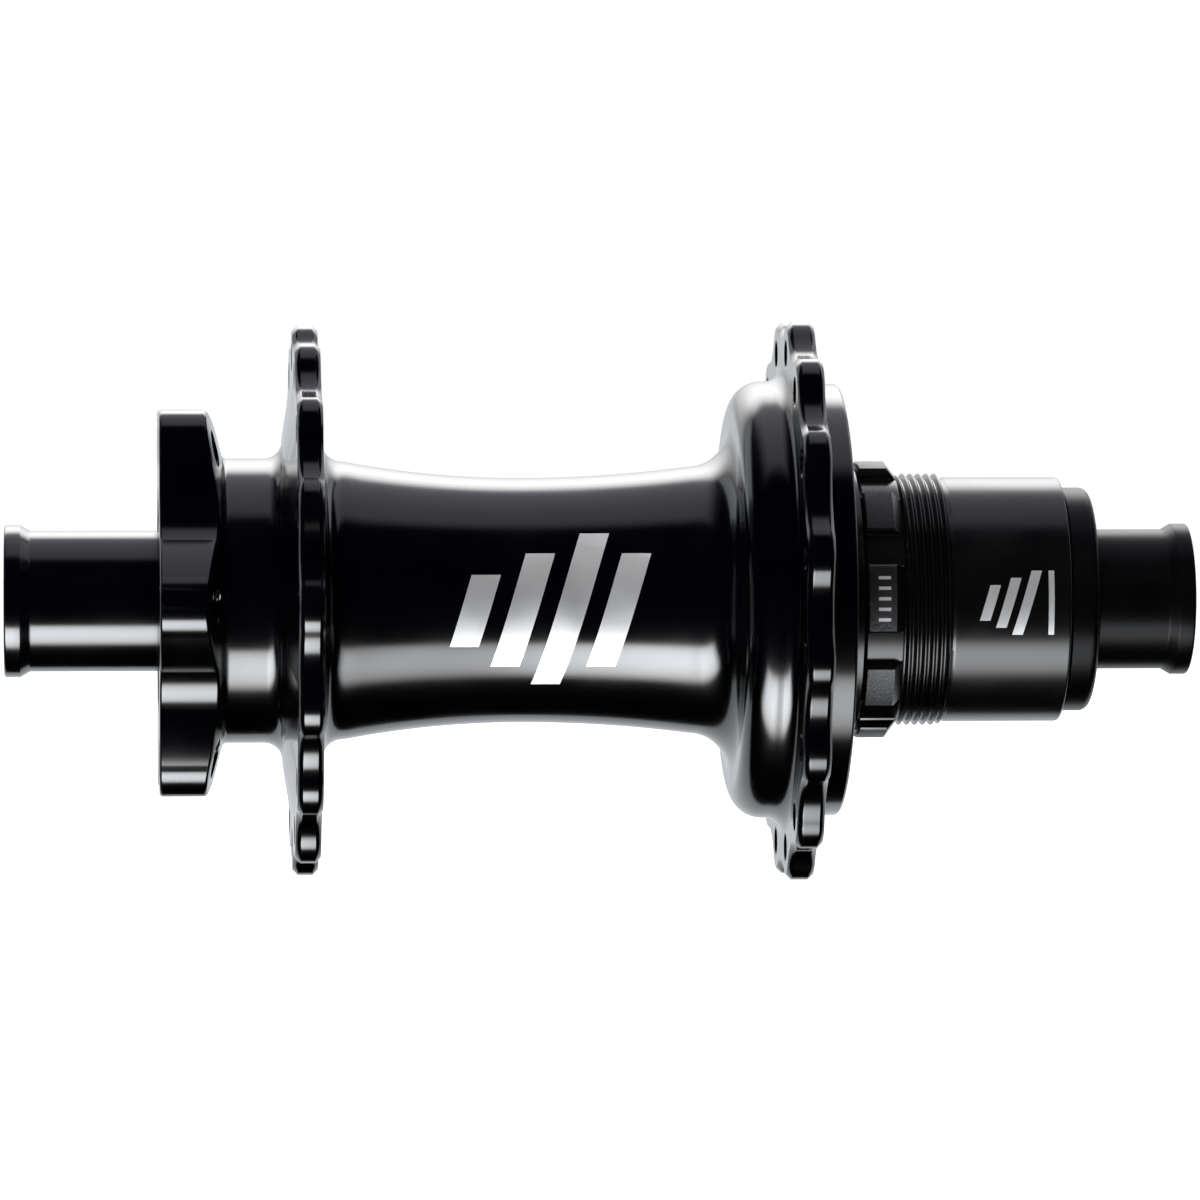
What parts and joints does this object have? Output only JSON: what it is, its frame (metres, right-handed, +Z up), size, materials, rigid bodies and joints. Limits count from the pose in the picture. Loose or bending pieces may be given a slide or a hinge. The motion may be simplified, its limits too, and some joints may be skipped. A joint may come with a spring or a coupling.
{
  "type": "rear bicycle hub",
  "caption": "Rear bicycle hub with a six-bolt disc mount, two lobed spoke flanges, a freewheel driver with splines and thread, and push-on end caps on a hollow axle.",
  "frame": {"origin": "on the axle line, midway between the two end faces", "axes": "+X along the axle line towards the drive side, +Z up, -Y towards the viewer of the picture"},
  "size_m": [0.148, 0.0694, 0.0694],
  "materials": {
    "black_anodised": "glossy black anodised",
    "satin_anodised": "satin black anodised, turned",
    "bearing_steel": "ground and polished",
    "tool_steel": "hardened, dark grey",
    "cage_brass": "satin",
    "rubber": "matt black"
  },
  "bodies": {
    "axle": {"axle": "satin_anodised", "disc_end_cap": "black_anodised", "drive_end_cap": "black_anodised", "end_cap_o_rings": "rubber", "disc_bearing_inner_ring": "bearing_steel", "shell_bearing_inner_ring": "bearing_steel", "driver_inboard_inner_ring": "bearing_steel", "driver_outboard_inner_ring": "bearing_steel", "axle_spacer": "satin_anodised", "driver_spacer": "satin_anodised"},
    "shell": {"hub_shell": "black_anodised", "drive_ring": "tool_steel", "disc_bearing_outer_ring": "bearing_steel", "disc_bearing_shields": "rubber", "shell_bearing_outer_ring": "bearing_steel", "shell_bearing_shields": "rubber", "disc_dust_seal": "rubber", "driver_lip_seal": "rubber"},
    "driver": {"driver_body": "satin_anodised", "driver_inboard_outer_ring": "bearing_steel", "driver_inboard_shields": "rubber", "driver_outboard_outer_ring": "bearing_steel", "driver_outboard_shields": "rubber", "driver_snap_ring": "tool_steel", "pawl_springs": "bearing_steel"},
    "disc_bearing_set": {"disc_bearing_balls": "bearing_steel", "disc_bearing_cage": "cage_brass"},
    "shell_bearing_set": {"shell_bearing_balls": "bearing_steel", "shell_bearing_cage": "cage_brass"},
    "driver_inboard_set": {"driver_inboard_balls": "bearing_steel", "driver_inboard_cage": "cage_brass"},
    "driver_outboard_set": {"driver_outboard_balls": "bearing_steel", "driver_outboard_cage": "cage_brass"},
    "pawl_1": {"pawl_1": "tool_steel"},
    "pawl_2": {"pawl_2": "tool_steel"},
    "pawl_3": {"pawl_3": "tool_steel"},
    "pawl_4": {"pawl_4": "tool_steel"},
    "pawl_5": {"pawl_5": "tool_steel"},
    "pawl_6": {"pawl_6": "tool_steel"}
  },
  "joints": [
    {"name": "shell_spin", "type": "hinge", "parent": "axle", "child": "shell", "pos_m": [0, 0, 0], "axis": [1, 0, 0], "continuous": true},
    {"name": "driver_spin", "type": "hinge", "parent": "axle", "child": "driver", "pos_m": [0, 0, 0], "axis": [1, 0, 0], "continuous": true},
    {"name": "disc_bearing_roll", "type": "hinge", "parent": "axle", "child": "disc_bearing_set", "pos_m": [-0.047, 0, 0], "axis": [1, 0, 0], "continuous": true},
    {"name": "shell_bearing_roll", "type": "hinge", "parent": "axle", "child": "shell_bearing_set", "pos_m": [0.014, 0, 0], "axis": [1, 0, 0], "continuous": true},
    {"name": "driver_inboard_roll", "type": "hinge", "parent": "axle", "child": "driver_inboard_set", "pos_m": [0.0235, 0, 0], "axis": [1, 0, 0], "continuous": true},
    {"name": "driver_outboard_roll", "type": "hinge", "parent": "axle", "child": "driver_outboard_set", "pos_m": [0.0535, 0, 0], "axis": [1, 0, 0], "continuous": true},
    {"name": "pawl_1_rock", "type": "hinge", "parent": "driver", "child": "pawl_1", "pos_m": [0.0236, 0.0156, 0], "axis": [1, 0, 0], "range_deg": [0, 4], "stiffness_Nm_per_rad": 0.02, "springref_deg": 22.92},
    {"name": "pawl_2_rock", "type": "hinge", "parent": "driver", "child": "pawl_2", "pos_m": [0.0236, 0.0078, 0.01351], "axis": [1, 0, 0], "range_deg": [0, 3.3], "stiffness_Nm_per_rad": 0.02, "springref_deg": 22.92},
    {"name": "pawl_3_rock", "type": "hinge", "parent": "driver", "child": "pawl_3", "pos_m": [0.0236, -0.0078, 0.01351], "axis": [1, 0, 0], "range_deg": [0, 2.6], "stiffness_Nm_per_rad": 0.02, "springref_deg": 22.92},
    {"name": "pawl_4_rock", "type": "hinge", "parent": "driver", "child": "pawl_4", "pos_m": [0.0236, -0.0156, 0], "axis": [1, 0, 0], "range_deg": [0, 1.9], "stiffness_Nm_per_rad": 0.02, "springref_deg": 22.92},
    {"name": "pawl_5_rock", "type": "hinge", "parent": "driver", "child": "pawl_5", "pos_m": [0.0236, -0.0078, -0.01351], "axis": [1, 0, 0], "range_deg": [0, 1.2], "stiffness_Nm_per_rad": 0.02, "springref_deg": 22.92},
    {"name": "pawl_6_rock", "type": "hinge", "parent": "driver", "child": "pawl_6", "pos_m": [0.0236, 0.0078, -0.01351], "axis": [1, 0, 0], "range_deg": [0, 0.7], "stiffness_Nm_per_rad": 0.02, "springref_deg": 22.92}
  ],
  "couplings": [
    {"joint": "disc_bearing_roll", "follows": "shell_spin", "ratio": 0.5814},
    {"joint": "shell_bearing_roll", "follows": "shell_spin", "ratio": 0.5814},
    {"joint": "driver_inboard_roll", "follows": "driver_spin", "ratio": 0.561},
    {"joint": "driver_outboard_roll", "follows": "driver_spin", "ratio": 0.561}
  ]
}
